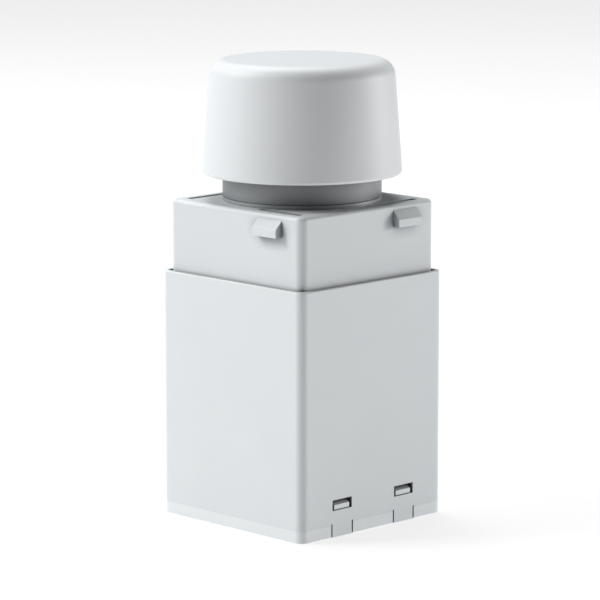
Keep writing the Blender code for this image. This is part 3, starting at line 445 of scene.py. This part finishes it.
def board_resist(name):
    """Glass-epoxy board under green solder resist: faint tracks stand under a glossy lacquer."""
    material, tree, shader = finish_of(name, 0.3, IOR=1.5)
    place = add(tree, "TexCoord").outputs["Object"]
    # The board stands in the YZ plane, so its pattern is laid out over Z and Y.
    axes = add(tree, "SeparateXYZ", {"Vector": place}).outputs
    flat = add(tree, "CombineXYZ", {"X": axes["Z"], "Y": axes["Y"]}).outputs["Vector"]
    repeat = 9 * MM
    tracks = add(
        tree, "TexBrick", {"Vector": flat}, {"Scale": 1 / repeat, "Mortar Size": 0.06, "Mortar Smooth": 0.3}
    ).outputs["Fac"]
    tree.links.new(ramp(tree, tracks, ((0.0, "#0E5A2E"), (1.0, "#2C7A45"))), shader.inputs["Base Color"])
    bump_from(tree, shader, tracks, 0.4, 0.03 * MM)
    return material


# Painted shade from an occlusion term, darkening gaps, corners and recesses: reach, own shape only, then its
# tone from closed to open.
FOOT_PAINTED_SHADE = 3.0 * MM, False, "#1C1E20", "#6E7275", "#DCDEDF"
DECK_PAINTED_SHADE = 4.5 * MM, True, "#1C1E20", "#74787B", "#DADCDD"
GEAR_PAINTED_SHADE = 0.8 * MM, True, "#6E6A5E", "#B9B5A8", "#F1EFE8"
SEAT_PAINTED_SHADE = 6.0 * MM, False, "#7A7D80", "#A4A7AA", "#EDEEEE"
NECK_PAINTED_SHADE = 9.0 * MM, False, "#2C2E30", "#85888A", "#EDEEEE"

# White ABS with a satin skin: pale, slightly cool, and softly glossy at a low angle. The knob's is duller.
casing_abs = moulded_plastic("casing_white_abs", "#DFE3E5", "#DDE1E3", 0.46, 0.35 * MM, 0.012 * MM)
upper_abs = moulded_plastic(
    "upper_white_abs", "#DADEE0", "#D8DCDE", 0.46, 0.35 * MM, 0.012 * MM, joints=DECK_PAINTED_SHADE
)
knob_abs = moulded_plastic("knob_white_abs", "#E0E3E5", "#DEE1E3", 0.5, 0.3 * MM, 0.008 * MM, swing=0.03)
base_abs = moulded_plastic("base_white_abs", "#E8ECEE", "#E6EAEC", 0.46, 0.35 * MM, 0.012 * MM)
# Grey ABS: a mid grey that sets the neck apart from the white, on a slightly lighter ring.
collar_abs = moulded_plastic(
    "collar_grey_abs", "#A6A9AB", "#A3A6A8", 0.4, 0.3 * MM, 0.01 * MM, joints=NECK_PAINTED_SHADE
)
seat_abs = moulded_plastic(
    "seat_grey_abs", "#BDC0C2", "#BABDBF", 0.4, 0.2 * MM, 0.02 * MM, joints=SEAT_PAINTED_SHADE
)
# Natural acetal: a slightly creamy, waxy plastic, machined or moulded smooth.
gear_acetal = moulded_plastic(
    "natural_acetal", "#F2EEE0", "#EAE5D6", 0.34, 0.5 * MM, 0.006 * MM, ior=1.48, joints=GEAR_PAINTED_SHADE
)
# Glass-filled black nylon: nearly black with a dry, slightly mottled skin.
black_nylon = moulded_plastic(
    "black_glass_filled_nylon", "#1B1C1E", "#121314", 0.5, 0.25 * MM, 0.02 * MM, ior=1.53
)
# Nitrile rubber: black and dull, with hardly any gloss.
nitrile = moulded_plastic(
    "black_nitrile_rubber", "#161616", "#0F0F0F", 0.74, 0.3 * MM, 0.03 * MM, ior=1.52
)
# Steel and brass: bright bars with fine turning marks, and a drawn wire that is a little darker.
turned_steel = turned_metal("turned_steel", "#C4C6C7", "#A8AAAC", 0.3, 0.12 * MM)
spring_wire = turned_metal("drawn_spring_wire", "#B9BBBD", "#9C9EA0", 0.28, 0.2 * MM)
turned_brass = turned_metal("turned_brass", "#D6B26A", "#BE9850", 0.28, 0.12 * MM)
# Zinc plate: softer and more even than turned steel.
plated_steel = zinc_plate("zinc_plated_steel")
# Solder resist: deep glossy green with lighter tracks.
green_board = board_resist("green_solder_resist")


# ---------------------------------------------------------------- outer sleeve
def sleeve_mesh():
    """The square sleeve: rounded rim, tabs at its foot, snap windows and the opening for the plug."""
    rim = sleeve_high.z
    outer_r, inner_r = 0.55 * MM, 0.3 * MM  # the rim's roundings
    past = 2 * MM  # how far a cutter reaches beyond the wall
    section = [(0, 0.0), (0, rim - outer_r)]
    section += [arc_point(outer_r, rim - outer_r, outer_r, 90 - 15 * k) for k in range(1, 7)]
    section += [arc_point(SLEEVE_WALL - inner_r, rim - inner_r, inner_r, -22.5 * k) for k in range(0, 5)]
    section += [(SLEEVE_WALL, 0.0)]
    walls = shell("sleeve_walls", HALF, CORNER_R, section, closed=True)
    far, near = HALF + 5 * MM, SLEEVE_INNER - 3 * MM
    # The cutter under the tabs' level leaves the tabs standing between its teeth.
    edges = [s * TAB_CENTRE + t * TAB_WIDTH / 2 for s in (-1, 1) for t in (-1, 1)]
    right = [(far, -far)]
    for start, end in (edges[:2], edges[2:]):
        right += [(far, start), (near, start), (near, end), (far, end)]
    right.append((far, far))
    cutters = [extruded("below_band", right + [(-x, -y) for x, y in right], -past, BAND_TOP)]
    through = SLEEVE_INNER - past, HALF + past
    for side, centre in TAB_SPOTS:
        cutters.append(face_block("window", side, through, about(centre, TAB_WIDTH / 2), WINDOW))
    plug_low, plug_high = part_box("cable_socket")
    lip = 1.5 * MM
    low = (-HALF - past, plug_low.y + lip, plug_low.z + lip)
    high = (-SLEEVE_INNER + past, plug_high.y - lip, plug_high.z - lip)
    cutters.append(block("plug_opening", low, high))
    cutters += [turned_slit(side, edge) for side in (0, 2) for edge in slit_edges()]
    walls = carved(walls, cutters)
    # The housing rests on one ledge in each wall.
    low = (SLEEVE_INNER - 2.1 * MM, 11 * MM, HOUSING_LOW - 3 * MM)
    high = (SLEEVE_INNER + 0.5 * MM, 19 * MM, HOUSING_LOW - SEAT_GAP)
    ledges = [moved(eased(block("ledge", low, high)), turn(side)) for side in range(4)]
    return carved(walls, ledges, "UNION")


def slit_edges():
    """Where each slit beside a tab starts and ends along Y."""
    pairs = []
    for centre in (-TAB_CENTRE, TAB_CENTRE):
        for side in (-1, 1):
            near = centre + side * TAB_WIDTH / 2
            pairs.append(tuple(sorted((near, near + side * TAB_SLIT))))
    return pairs


def turned_slit(quarters, edge):
    """A cutter for one slit, deep enough that it stays dark."""
    return face_block("slit", quarters, (SLEEVE_INNER - 3.2 * MM, HALF + MM), edge, (-MM, SLIT_TOP))


def arc_point(inset, z, radius, degrees):
    """A point on a rim's rounding, as (inset, height). 90 degrees faces outwards and 0 faces up."""
    angle = math.radians(degrees)
    return (inset - radius * math.sin(angle), z + radius * math.cos(angle))


show("sleeve_shell", sleeve_mesh(), "body", casing_abs, ["outer_sleeve"])


# ---------------------------------------------------------------- upper housing
def housing_mesh():
    """The upper housing: a deck with an eased edge, relief slots, catches, and its inner legs and rails."""
    edge_r = 1.3 * MM
    section = [(0.0, HOUSING_LOW), (0.0, DECK - edge_r)]
    section += [arc_point(edge_r, DECK - edge_r, edge_r, 90 - 11.25 * k) for k in range(1, 9)]
    outer = shell("housing_outer", HOUSING_HALF, CORNER_R, section)
    wall = HOUSING_HALF - HOUSING_INNER
    inside = [(wall, HOUSING_LOW - MM), (wall, DECK_LOW)]
    cutters = [shell("housing_room", HOUSING_HALF, CORNER_R + 1.0 * MM, inside)]
    near, far = HALF - 7 * MM, HALF - 5 * MM
    start, end = about(15.25 * MM, 8.65 * MM)
    corners = [(near, start), (far, start), (far, end), (near, end)]
    for side in range(4):
        slot = extruded("relief_slot", rounded(corners, 0.5 * MM, 4), DECK_LOW - 4 * MM, DECK + MM)
        cutters.append(moved(slot, turn(side)))
    cutters.append(drill("bearing_hole", BEARING_R, DECK + MM, DECK_LOW - MM, 64))
    body = eased(carved(outer, cutters), 0.12 * MM)
    leg_low, leg_top, hole_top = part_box("gear_plate_upper")[1].z + SEAT_GAP, DECK_LOW + MM, 79 * MM
    leg = [(0, leg_top), (POST_R, leg_top), (POST_R, leg_low)]
    leg += [(SCREW_HOLE_R, leg_low), (SCREW_HOLE_R, hole_top), (0, hole_top)]
    inner_parts = [bearing_seat(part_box("deck_bearing")[0].z)]
    inner_parts += [turned("leg", leg, 32, at) for at in POSTS]
    inner_parts += [board_rail(side) for side in (-1, 1)]
    return carved(body, inner_parts + [catch_mesh(side) for side in range(4)], "UNION")


def collar_seat():
    """The raised ring under the collar, and the spigot that stands inside it."""
    inner = COLLAR_R - 2.3 * MM
    low, step, top = DECK - 0.5 * MM, DECK + 1.2 * MM, DECK + 5 * MM
    corners = [
        (COLLAR_R, low, 0),
        (inner - 2 * MM, low, 0),
        (inner - 2 * MM, top),
        (inner, top),
        (inner, step, 0.1 * MM),
        (COLLAR_R, step, 0.18 * MM),
    ]
    return turned("collar_seat", rounded(corners, 0.3 * MM, 4), 128, closed=True)


def bearing_seat(low):
    """The sleeve under the deck that holds the drive shaft's bush."""
    outer, top = 8.3 * MM, DECK_LOW + 0.5 * MM
    corners = [(outer, top, 0), (outer, low), (BEARING_R, low), (BEARING_R, top, 0)]
    return turned("bearing_seat", rounded(corners, 0.2 * MM, 3), 64, closed=True)


def board_rail(side):
    """The two lips that the circuit board slides between, on one side."""
    board_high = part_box("circuit_board")[1]
    edge = board_high.y
    back, front = -HOUSING_INNER - 0.5 * MM, board_high.x + SEAT_GAP
    low, high = HOUSING_LOW + MM, board_high.z + 2 * MM
    out, inside, groove = (side * (edge + by) for by in (1.8 * MM, -1.4 * MM, SEAT_GAP))
    span, strip = sorted((groove, out)), sorted((inside, out))
    face = front + 1.5 * MM
    cheek = block("rail_cheek", (back, span[0], low), (face, span[1], high))
    lip = block("rail_lip", (front, strip[0], low), (face, strip[1], high))
    return eased(carved(cheek, [lip], "UNION"))


def catch_mesh(side):
    """A snap catch: upright below, sloping back above, with eased edges."""
    top = DECK - 1.6 * MM
    low = top - 5 * MM
    upright_height, half_width = 2.3 * MM, 5 * MM
    reach = housing_high.x - HOUSING_HALF
    back = -0.8 * MM  # its root is inside the wall
    rise = 2.7 * MM / reach
    outline = [(back, low), (reach, low), (reach, low + upright_height), (back, top - back * rise)]
    wedge = extruded("catch", outline, -half_width, half_width)
    return moved(eased(wedge, 0.16 * MM, 3, 30), turn(side) @ upright((HOUSING_HALF, CATCH_CENTRE, 0)))


show("housing_shell", housing_mesh(), "body", upper_abs, ["upper_housing"])
show("neck_foot", collar_seat(), "body", seat_abs, ["upper_housing"], even=False)


# ---------------------------------------------------------------- base plate
def base_mesh():
    """The base: band with notches, tub wall with hooks, valve socket with lugs, and posts."""
    section = [(0.25 * MM, 0.0), (0.1 * MM, 0.04 * MM), (0.03 * MM, 0.12 * MM), (0.0, 0.25 * MM), (0.0, BAND)]
    plate = shell("base_band", HALF, CORNER_R, section)
    above, below = BAND + MM, -MM
    slits = [turned_slit(side, edge) for side in (0, 2) for edge in slit_edges()]
    cutters = [drill("socket_bore", SOCKET_R, above, below, 128)]
    for at in POSTS:
        for radius, top in ((HEAD_POCKET_R, HEAD_POCKET_TOP), (SCREW_HOLE_R, above)):
            cutters.append(drill("pocket", radius, top, below, 40, at))
    notch = TAB_WIDTH / 2 + TAB_SLIT
    for side, centre in TAB_SPOTS:
        depth = SLEEVE_INNER - 0.2 * MM, HALF + MM
        cutters.append(face_block("notch", side, depth, about(centre, notch), (below, above)))
    plate = carved(plate, cutters + slits)
    wall = [(0, ROOT), (0, TUB_TOP), (TUB_WALL, TUB_TOP), (TUB_WALL, ROOT)]
    tub = shell("tub_wall", HOUSING_HALF, CORNER_R - SLEEVE_WALL, wall, closed=True)
    room = 0.3 * MM
    gaps = []
    for side, centre in TAB_SPOTS:
        depth = HOUSING_HALF - 2.5 * MM, HOUSING_HALF + MM
        height = WINDOW[0] - room, WINDOW[1] + room
        gaps.append(face_block("hook_gap", side, depth, about(centre, TAB_WIDTH / 2 + room), height))
    parts = [plate, carved(tub, gaps + slits), socket_tube()]
    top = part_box("gear_plate_lower")[0].z - SEAT_GAP
    corners = [(POST_R, top), (POST_R, ROOT, 0), (SCREW_HOLE_R, ROOT, 0), (SCREW_HOLE_R, top)]
    parts += [turned("post", rounded(corners, 0.2 * MM, 3), 32, at, closed=True) for at in POSTS]
    parts += [hook_mesh(side, centre) for side, centre in TAB_SPOTS]
    low, high = (SOCKET_R - 1.5 * MM, -3 * MM, 2 * MM), (SOCKET_R + 0.5 * MM, 3 * MM, 4.5 * MM)
    for third in range(3):
        spin = Matrix.Rotation(math.tau * third / 3 + math.pi / 2, 4, "Z")
        parts.append(moved(eased(block("lug", low, high), 0.3 * MM, 3), spin))
    return together("base", parts)


def socket_tube():
    """The valve socket above the band: its wall with the ring's groove, and its roof with the guide hole."""
    ring_low, ring_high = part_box("retaining_ring")
    middle = (ring_low.z + ring_high.z) / 2
    groove_r, half_groove, groove_edge = SOCKET_R + 0.9 * MM, 0.9 * MM, 0.05 * MM
    outer = SOCKET_R + 2.5 * MM
    corners = [
        (outer, ROOT, 0),
        (SOCKET_R, ROOT, 0),
        (SOCKET_R, middle - half_groove),
        (groove_r, middle - half_groove, groove_edge),
        (groove_r, middle + half_groove, groove_edge),
        (SOCKET_R, middle + half_groove),
        (SOCKET_R, SOCKET_DEPTH, 0.5 * MM),
        (GUIDE_R, SOCKET_DEPTH),
        (GUIDE_R, ROOF_TOP),
        (outer, ROOF_TOP, 0.6 * MM),
    ]
    return turned("socket_tube", rounded(corners, 0.15 * MM, 3), 128, closed=True)


def hook_mesh(side, centre):
    """A snap hook of the base, seen in a window of the sleeve."""
    face = HALF - 0.2 * MM - HOUSING_HALF
    low, high = WINDOW
    beyond = 0.6 * MM
    outline = [
        (-TUB_WALL, low - beyond),
        (0.0, low - beyond),
        (0.0, low + 0.15 * MM),
        (face, low + 0.15 * MM),
        (face, low + 0.5 * (high - low)),
        (0.0, high - 0.25 * MM),
        (0.0, high + beyond),
        (-TUB_WALL, high + beyond),
    ]
    wedge = extruded("hook", outline, -HOOK_HALF, HOOK_HALF)
    return moved(eased(wedge, 0.12 * MM, 3, 30), turn(side) @ upright((HOUSING_HALF, centre, 0)))


show("base_cover", base_mesh(), "body", base_abs, ["base_plate"])


# ---------------------------------------------------------------- collar and knob
def collar_mesh():
    """The round neck: a plain tube with a web at its top and soft edges."""
    wall, hole = 2 * MM, 7 * MM
    inner = COLLAR_R - wall
    low = COLLAR_LOW - 0.2 * MM  # it nearly closes the gap over its seat
    corners = [
        (COLLAR_R, COLLAR_TOP, 0.6 * MM),
        (COLLAR_R, low, 0.12 * MM),
        (inner, low, 0.12 * MM),
        (inner, COLLAR_TOP - wall, 0.4 * MM),
        (hole, COLLAR_TOP - wall, 0.2 * MM),
        (hole, COLLAR_TOP, 0.3 * MM),
    ]
    return turned("collar", rounded(corners, 0.3 * MM), 160, closed=True)


def knob_mesh():
    """The hand knob: a drafted side, a soft shoulder, a flat top and a thin rim round its hollow."""
    low, top = knob_low.z, knob_high.z
    rim, wall = 30.0 * MM, 2.3 * MM
    lean = 0.075  # how far the side leans in for each metre up
    seat_r, hub_r = 10.6 * MM, 7.7 * MM

    def side(z):
        return rim - lean * (z - low)

    roof = top - wall
    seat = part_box("return_spring")[1].z + SEAT_GAP
    outside = [
        (0, top, 0),
        (side(top), top, 4.95 * MM),
        (rim, low, 0.95 * MM),
        (rim - wall, low, 0.7 * MM),
        (side(roof) - wall, roof, 2.4 * MM),
        (seat_r, roof, 0.5 * MM),
        (seat_r, seat, 0.25 * MM),
        (hub_r, seat, 0.25 * MM),
        (hub_r, roof, 0.3 * MM),
        (0, roof, 0),
    ]
    return turned("knob", rounded(outside, 0.3 * MM, 14), 192)


show("neck_ring", collar_mesh(), "body", collar_abs, ["neck_collar"], even=False)
show("knob_shell", knob_mesh(), "knob", knob_abs, ["knob_cap"], even=False)


# ---------------------------------------------------------------- pieces in the valve socket
def gasket_mesh():
    """The flat gasket at the end of the socket."""
    low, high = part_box("socket_gasket")
    hole = 12 * MM
    corners = [(high.x, high.z), (high.x, low.z), (hole, low.z), (hole, high.z)]
    return turned("gasket", rounded(corners, 0.2 * MM, 3), 96, closed=True)


def foot_mesh():
    """The foot that meets the valve's pin, with soft edges and a shallow dimple."""
    low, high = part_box("pressure_foot")
    dimple = low.z + 0.35 * MM
    corners = [
        (0, high.z, 0),
        (high.x, high.z, 0.5 * MM),
        (high.x, low.z, 0.5 * MM),
        (2.6 * MM, low.z, 0.3 * MM),
        (1.9 * MM, dimple, 0.3 * MM),
        (0, dimple, 0),
    ]
    return turned("foot", rounded(corners, 0.2 * MM, 4), 64)


def wire_mesh(name, path, radius, sides=12):
    """A round wire along a path, with domed ends."""
    points, faces = [], []
    count = len(path)
    for n, place in enumerate(path):
        along = (path[min(n + 1, count - 1)] - path[max(n - 1, 0)]).normalized()
        out = Vector((place.x, place.y, 0)).normalized()
        up = along.cross(out).normalized()
        out = up.cross(along).normalized()
        for k in range(sides):
            turn_by = math.tau * k / sides
            points.append(place + radius * (math.cos(turn_by) * out + math.sin(turn_by) * up))
    for n in range(count - 1):
        for k in range(sides):
            m = (k + 1) % sides
            faces.append((n * sides + k, n * sides + m, (n + 1) * sides + m, (n + 1) * sides + k))
    faces.append(tuple(range(sides)))
    faces.append(tuple(range((count - 1) * sides, count * sides)))
    return eased(new_mesh(name, points, faces), radius * 0.5, 3, 60)


def ring_mesh():
    """The open wire ring that grips the adapter."""
    low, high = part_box("retaining_ring")
    z = (low.z + high.z) / 2
    gap, steps = math.radians(50), 96
    path = []
    for n in range(steps + 1):
        t = gap / 2 + (math.tau - gap) * n / steps
        path.append(Vector((SOCKET_R * math.cos(t), SOCKET_R * math.sin(t), z)))
    return wire_mesh("ring", path, 0.5 * MM)


def spring_mesh():
    """The knob's return spring, its end turns closed up."""
    low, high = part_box("return_spring")
    wire_r, coil_r = 0.58 * MM, 9.4 * MM
    bottom, top = low.z + wire_r, high.z - wire_r
    turns, steps, end_turn = 5, 40, 0.6
    path = []
    for n in range(turns * steps + 1):
        u = n / steps
        open_part = min(max((u - end_turn) / (turns - 2 * end_turn), 0.0), 1.0)
        rise = open_part * 0.9 + 0.1 * u / turns
        t = math.tau * u
        path.append(Vector((coil_r * math.cos(t), coil_r * math.sin(t), bottom + (top - bottom) * rise)))
    return wire_mesh("spring", path, wire_r, 10)


def screw_mesh(node):
    """A long cap screw with a hexagonal recess, its head at the bottom."""
    low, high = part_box(node)
    at = ((low.x + high.x) / 2, (low.y + high.y) / 2)
    head_r, shank_r, head_top = 2.9 * MM, 1.5 * MM, 2.3 * MM
    corners = [
        (0, high.z, 0),
        (shank_r, high.z, 0.3 * MM),
        (shank_r, head_top, 0.1 * MM),
        (head_r, head_top, 0.15 * MM),
        (head_r, low.z, 0.35 * MM),
        (0, low.z, 0),
    ]
    solid = turned("screw", rounded(corners, 0.2 * MM, 4), 48, at)
    key_r, key_depth = 1.45 * MM, 1.2 * MM
    angles = [math.tau * k / 6 for k in range(6)]
    hexagon = [(at[0] + key_r * math.cos(a), at[1] + key_r * math.sin(a)) for a in angles]
    recess = extruded("recess", hexagon, low.z - MM, low.z + key_depth)
    return eased(carved(solid, [recess]), 0.06 * MM, 2, 50)


show("socket_seal", gasket_mesh(), "body", nitrile, ["socket_gasket"], even=False)
show("stem_foot", foot_mesh(), "stem", turned_steel, ["pressure_foot"], even=False)
show("grip_ring", ring_mesh(), "body", spring_wire, ["retaining_ring"], even=False)
for number in range(1, 5):
    node = f"through_screw_{number}"
    show(f"cap_screw_{number}", screw_mesh(node), "body", plated_steel, [node])

spring = show("knob_spring", spring_mesh(), "drive", spring_wire, ["return_spring"], even=False)
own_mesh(spring)


# ---------------------------------------------------------------- cable socket
def plug_socket_mesh():
    """The black cable socket: a shroud with a key slot along its top."""
    low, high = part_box("cable_socket")
    wall, floor, half_key = 1.8 * MM, 2 * MM, 1.2 * MM
    front, roof = low.x - MM, high.z - wall
    shroud = block("shroud", low, high)
    mouth = block("mouth", (front, low.y + wall, low.z + wall), (high.x - floor, high.y - wall, roof))
    key = block("key", (front, -half_key, roof - MM), (low.x + 3 * MM, half_key, roof + 0.7 * MM))
    return eased(carved(shroud, [mouth, key]), 0.2 * MM)


show("plug_shroud", plug_socket_mesh(), "body", black_nylon, ["cable_socket"])

# ---------------------------------------------------------------- finishes of the plain nodes that stay
FINISHES = {
    gear_acetal: ["knob_hub", "deck_bearing", "drive_gear", "stem_guide", "lower_bearing", "upper_bearing"]
    + ["idler_gear", "idler_pinion"],
    turned_steel: ["drive_shaft", "output_stem", "idler_pin", "motor_shaft", "shaft_clip"],
    turned_brass: ["drive_nut", "motor_pinion", "contact_pin_1", "contact_pin_2", "contact_pin_3"],
    plated_steel: ["gear_plate_lower", "gear_plate_upper", "motor_case", "motor_screw_1", "motor_screw_2"]
    + [f"plate_spacer_{n}" for n in range(1, 5)],
    green_board: ["circuit_board"],
    black_nylon: ["driver_chip", "relay", "capacitor"],
    collar_abs: ["board_header"],
}
for finish, names in FINISHES.items():
    for name in names:
        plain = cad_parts[name]
        plain.data.materials.clear()
        plain.data.materials.append(finish)
        plain.data.shade_smooth()
        plain.data.set_sharp_from_angle(angle=math.radians(35))


# ---------------------------------------------------------------- studio
FLOOR_GLOW = 0.75
LIGHT_DISTANCE = 1.6
LIT_AT = Vector((0, 0, 0.07))


def studio_floor():
    """A wide floor of opal acrylic lit from below: even and nearly white, with only a soft shadow."""
    side, drop = 9.0, -0.05 * MM  # just below the foot, so that the two never share a plane
    corners = [(x * side, y * side, drop) for x, y in ((-1, -1), (1, -1), (1, 1), (-1, 1))]
    mesh = new_mesh("floor", corners, [(0, 1, 2, 3)])
    floor = bpy.data.objects.new("studio_floor", mesh)
    bpy.context.scene.collection.objects.link(floor)
    material, tree, shader = finish_of("backlit_opal_acrylic", 0.9, IOR=1.4)
    place = add(tree, "TexCoord").outputs["Object"]
    cloud = add(tree, "TexNoise", {"Vector": place}, {"Scale": 6.0, "Detail": 2.0}).outputs["Fac"]
    colour = ramp(tree, cloud, ((0.3, "#959595"), (0.7, "#989898")))
    tree.links.new(colour, shader.inputs["Base Color"])
    shader.inputs["Specular IOR Level"].default_value = 0.1
    shader.inputs["Emission Color"].default_value = linear("#FFFFFF")
    shader.inputs["Emission Strength"].default_value = FLOOR_GLOW
    mesh.materials.append(material)
    floor.visible_shadow = False


def softbox(name, azimuth, elevation, size, power):
    """A soft white light turned to the head. Azimuth 0 is at -Y and 90 at +X; power is in watts."""
    light = bpy.data.lights.new(name, "AREA")
    light.shape = "RECTANGLE"
    light.size, light.size_y = size
    light.energy = power
    made = bpy.data.objects.new(name, light)
    a, e = math.radians(azimuth), math.radians(elevation)
    away = Vector((math.sin(a) * math.cos(e), -math.cos(a) * math.cos(e), math.sin(e)))
    made.location = LIT_AT + away * LIGHT_DISTANCE
    made.visible_camera = False
    made.rotation_euler = away.to_track_quat("Z", "Y").to_euler()
    bpy.context.scene.collection.objects.link(made)


softbox("key_left", -45, 40, (0.7, 0.7), 16.0)
softbox("front_left", -30, 30, (0.7, 0.6), 3.0)
softbox("low_left", -42, 12, (0.7, 0.4), 2.0)
softbox("high_left", -100, 62, (0.9, 0.9), 7.7)
softbox("high_back", -135, 68, (1.0, 1.0), 13.0)
softbox("fill_right", 148, 8, (0.6, 0.3), 10.8)

world = bpy.data.worlds.new("studio_air")
world.use_nodes = True
backdrop = world.node_tree.nodes["Background"]
backdrop.inputs["Color"].default_value = linear("#FFFFFF")
backdrop.inputs["Strength"].default_value = 0.0
bpy.context.scene.world = world
studio_floor()

camera_data = bpy.data.cameras.new("camera")
camera_data.sensor_width = 36.0
camera_data.lens = 202.8
camera_data.clip_start = 0.05
camera_data.clip_end = 40.0
camera = bpy.data.objects.new("camera", camera_data)
aim = Vector((0.00013, -0.00101, 0.0654))
camera.location = (0.7111, -0.7062, 0.2411)
camera.rotation_euler = (camera.location - aim).to_track_quat("Z", "Y").to_euler()
bpy.context.scene.collection.objects.link(camera)
bpy.context.scene.camera = camera

bpy.context.scene.view_settings.view_transform = "Standard"
bpy.context.scene.view_settings.look = "None"
